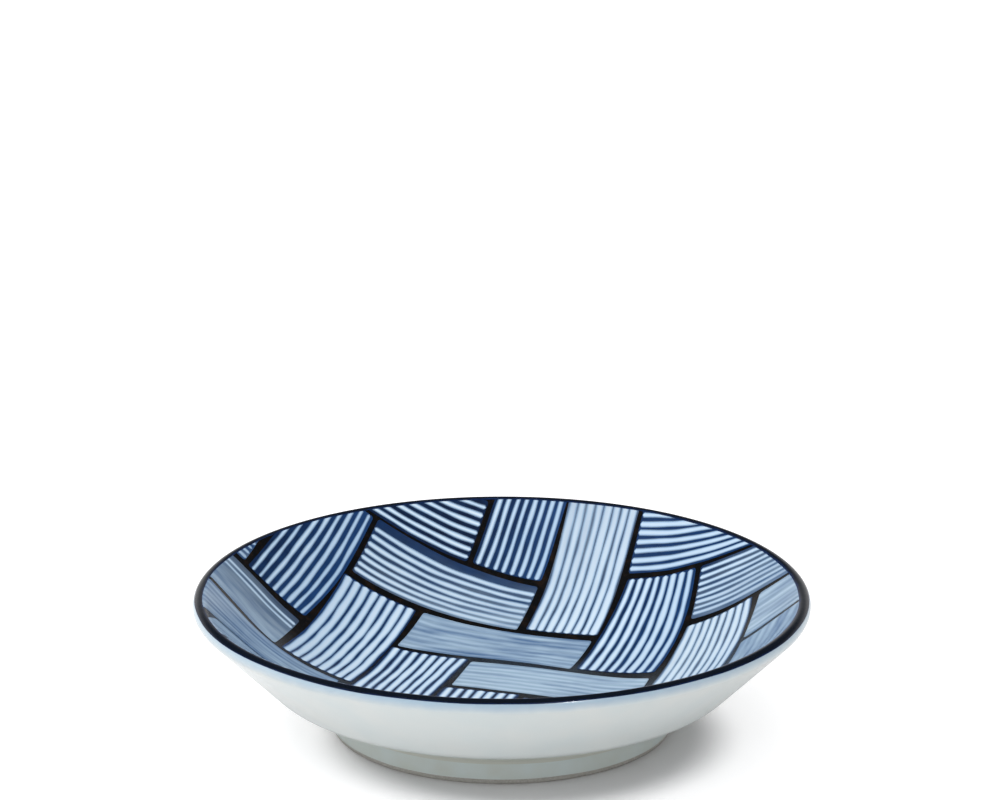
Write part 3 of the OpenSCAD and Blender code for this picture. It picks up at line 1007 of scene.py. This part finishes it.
class DISH_OT_rim_line(bpy.types.Operator):
    """Build the dark line brushed over the lip"""

    bl_idname = "dish.rim_line"
    bl_label = "Rim Line"

    def execute(self, context):
        scene = context.scene
        section = Section(scene.dish_shape)
        weave = scene.dish_weave
        first, last = weave.line_out, weave.line_in
        bm = revolved([
            *section.lip_corners(0, first, last), *section.lip_corners(section.coat, last, first)
        ])
        edge = bm.verts.layers.float.new("line_edge")
        for vert in bm.verts:
            out = Vector((vert.co.xy.length, vert.co.z)) - section.lip
            here = math.atan2(out.y, out.x)
            share_in = (here - first) / (last - first)
            vert[edge] = abs(2 * share_in - 1)
            way = vert.co.xy / LINE_DRIFT
            right, back = (Vector((1, 1)) + vert.co.xy.normalized()) / 2
            outer = weave.line_waver * waver(way, LINE_OUT_SEED)
            inner = weave.line_waver * waver(way, LINE_IN_SEED) + weave.line_swell * back ** BACK_POWER
            inner += weave.line_right * right ** RIGHT_POWER
            drift = outer * (1 - share_in) ** 2 + inner * share_in ** 2
            place = section.lip + out.length * along(here + drift)
            vert.co.xy = vert.co.xy.normalized() * place.x
            vert.co.z = place.y
        add_piece("rim_line_brushed", bm, line_paint(scene.dish_colours), "rim_line")
        return {"FINISHED"}


class DISH_OT_stage(bpy.types.Operator):
    """Build the table top, the soft boxes, the even light and the camera"""

    bl_idname = "dish.stage"
    bl_label = "Stage"

    def execute(self, context):
        stage = context.scene.dish_stage
        self.add_floor(context, stage)
        self.add_world(context, stage)
        key = self.add_soft_box(context, "soft_box", stage.key_size, stage.key_power, BOX_LEFT)
        key.visible_glossy = False
        sheen = self.add_soft_box(context, "soft_box_sheen", stage.key_size, stage.sheen_power, BOX_LEFT)
        sheen.visible_diffuse = False
        glint = self.add_soft_box(context, "soft_box_glint", stage.glint_size, stage.glint_power, BOX_FRONT)
        glint.visible_diffuse = False
        self.add_camera(context, stage)
        return {"FINISHED"}

    def add_floor(self, context, stage):
        """White table that keeps the dish's shadow near it and, by a painted glow, turns plain white further
        out.
        """
        bm = bmesh.new()
        bmesh.ops.create_grid(bm, x_segments=1, y_segments=1, size=stage.floor_size / 2)
        mesh = bpy.data.meshes.new("table_top")
        bm.to_mesh(mesh)
        bm.free()
        floor = bpy.data.objects.new("table_top", mesh)
        context.scene.collection.objects.link(floor)
        material = bpy.data.materials.new("white_table")
        material.use_nodes = True
        mesh.materials.append(material)
        tree = material.node_tree
        tree.nodes.clear()
        rays = add(tree, "LightPath").outputs
        # The glaze mirrors the table's own lit colour and a share of the light that the camera sees
        seen = add(
            tree, "Math", {0: rays["Is Glossy Ray"], 1: MIRRORED_GLOW, 2: rays["Is Camera Ray"]},
            operation="MULTIPLY_ADD",
        )
        seen = add(tree, "Math", {0: seen, 1: rays["Is Transmission Ray"]}, operation="MAXIMUM")
        # Painted light: the table glows more and more away from the dish's shade, which paints the outer
        # fade of its shadow
        aside = add(tree, "VectorMath", {0: in_millimetres(tree), 1: SHADE_SHIFT}, operation="ADD")
        from_shade = add(tree, "VectorMath", {0: aside}, operation="LENGTH").outputs["Value"]
        painted_glow_ramp = add(
            tree, "MapRange", {0: from_shade, 1: SHADE_FADE[0], 2: SHADE_FADE[1], 3: 0.0, 4: TABLE_GLOW},
            interpolation_type="SMOOTHSTEP",
        )
        glow = add(tree, "Math", {0: seen, 1: painted_glow_ramp}, operation="MULTIPLY")
        matt = add(tree, "BsdfDiffuse", {"Color": TABLE_COLOUR})
        white = add(tree, "Emission", {"Color": (1, 1, 1, 1), "Strength": glow})
        top = add(tree, "AddShader", {0: matt, 1: white})
        # The table is left out for whoever looks from below, so that the underside can be seen
        behind = add(tree, "NewGeometry").outputs["Backfacing"]
        from_below = add(tree, "Math", {0: behind, 1: rays["Transparent Depth"]}, operation="MAXIMUM")
        clear = add(tree, "BsdfTransparent")
        whole = add(tree, "MixShader", {0: from_below, 1: top, 2: clear})
        add(tree, "OutputMaterial", {"Surface": whole})

    def add_world(self, context, stage):
        """Even light from all round, plain white where the camera sees it and dimmer in the glaze."""
        world = bpy.data.worlds.new("studio")
        context.scene.world = world
        world.use_nodes = True
        tree = world.node_tree
        tree.nodes.clear()
        rays = add(tree, "LightPath").outputs
        way = add(tree, "SeparateXYZ", {0: add(tree, "TexCoord").outputs["Generated"]}).outputs
        mirrored = add(
            tree, "MapRange",
            {0: way[2], 1: MIRRORED_FADE[0], 2: MIRRORED_FADE[1], 3: stage.horizon, 4: stage.overhead},
        )
        left = stage.ambience * (1 + stage.lean)
        right = stage.ambience * (1 - stage.lean)
        aside = add(tree, "MapRange", {0: way[0], 1: -1, 2: 1, 3: left, 4: right})
        above = add(
            tree, "MapRange", {0: way[2], 1: ZENITH_FADE[0], 2: ZENITH_FADE[1], 3: 1, 4: 1 + stage.zenith}
        )
        lit = add(tree, "Math", {0: aside, 1: above}, operation="MULTIPLY")
        even = add(tree, "Mix", {0: rays["Is Glossy Ray"], 2: lit, 3: mirrored}, data_type="FLOAT")
        strength = add(tree, "Mix", {0: rays["Is Camera Ray"], 2: even, 3: 1.0}, data_type="FLOAT")
        light = add(tree, "Background", {"Color": (1, 1, 1, 1), "Strength": strength})
        add(tree, "OutputWorld", {"Surface": light})

    def add_soft_box(self, context, name, size, power, way):
        """Soft box that lights the dish from one way."""
        lamp = bpy.data.lights.new(name, "AREA")
        lamp.shape = "SQUARE"
        lamp.size = size
        lamp.energy = power
        box = bpy.data.objects.new(name, lamp)
        box.location = way * BOX_DISTANCE
        box.rotation_euler = box.location.to_track_quat("Z", "Y").to_euler()
        context.scene.collection.objects.link(box)
        return box

    def add_camera(self, context, stage):
        """Camera at the photograph's angle, with the dish's middle at its pixel of the 1000 x 800 frame."""
        frame_width, frame_height = 1000, 800
        target_x, target_y = 502, 651.9
        data = bpy.data.cameras.new("camera")
        data.lens = stage.lens
        data.sensor_width = 36
        focal = stage.lens / data.sensor_width * frame_width
        drop = math.atan((target_y - frame_height / 2) / focal)
        aside = math.atan((target_x - frame_width / 2) / focal)
        camera = bpy.data.objects.new("camera", data)
        back = Vector((0, -math.cos(stage.elevation), math.sin(stage.elevation)))
        camera.location = Vector((0, 0, stage.target)) + stage.distance * back
        camera.rotation_euler = (math.pi / 2 - stage.elevation + drop, 0, aside)
        context.scene.collection.objects.link(camera)
        context.scene.camera = camera
        context.scene.view_settings.view_transform = "Standard"


class DISH_PT_panel(bpy.types.Panel):
    """The dish's sizes, colours and pieces in the sidebar"""

    bl_idname = "DISH_PT_panel"
    bl_label = "Soy Sauce Dish"
    bl_space_type = "VIEW_3D"
    bl_region_type = "UI"
    bl_category = "Dish"

    def draw(self, context):
        layout = self.layout
        for operator in OPERATORS:
            layout.operator(operator.bl_idname)
        for group in (context.scene.dish_shape, context.scene.dish_weave, context.scene.dish_colours,
                      context.scene.dish_stage):
            box = layout.box()
            for name in group.__annotations__:
                box.prop(group, name)


GROUPS = {
    "dish_shape": DishShape,
    "dish_weave": DishWeave,
    "dish_colours": DishColours,
    "dish_stage": DishStage,
}
OPERATORS = (
    DISH_OT_stage,
    DISH_OT_bowl_body,
    DISH_OT_foot_ring,
    DISH_OT_outside_glaze,
    DISH_OT_foot_glaze,
    DISH_OT_base_glaze,
    DISH_OT_painted_gaps,
    DISH_OT_strands_up,
    DISH_OT_strands_across,
    DISH_OT_rim_line,
)


def register():
    for name, group in GROUPS.items():
        bpy.utils.register_class(group)
        setattr(bpy.types.Scene, name, bpy.props.PointerProperty(type=group))
    for kind in (*OPERATORS, DISH_PT_panel):
        bpy.utils.register_class(kind)


def unregister():
    for kind in (DISH_PT_panel, *reversed(OPERATORS)):
        bpy.utils.unregister_class(kind)
    for name, group in GROUPS.items():
        delattr(bpy.types.Scene, name)
        bpy.utils.unregister_class(group)


def main():
    register()
    for operator in OPERATORS:
        group, name = operator.bl_idname.split(".")
        getattr(getattr(bpy.ops, group), name)()


if __name__ == "__main__":
    main()
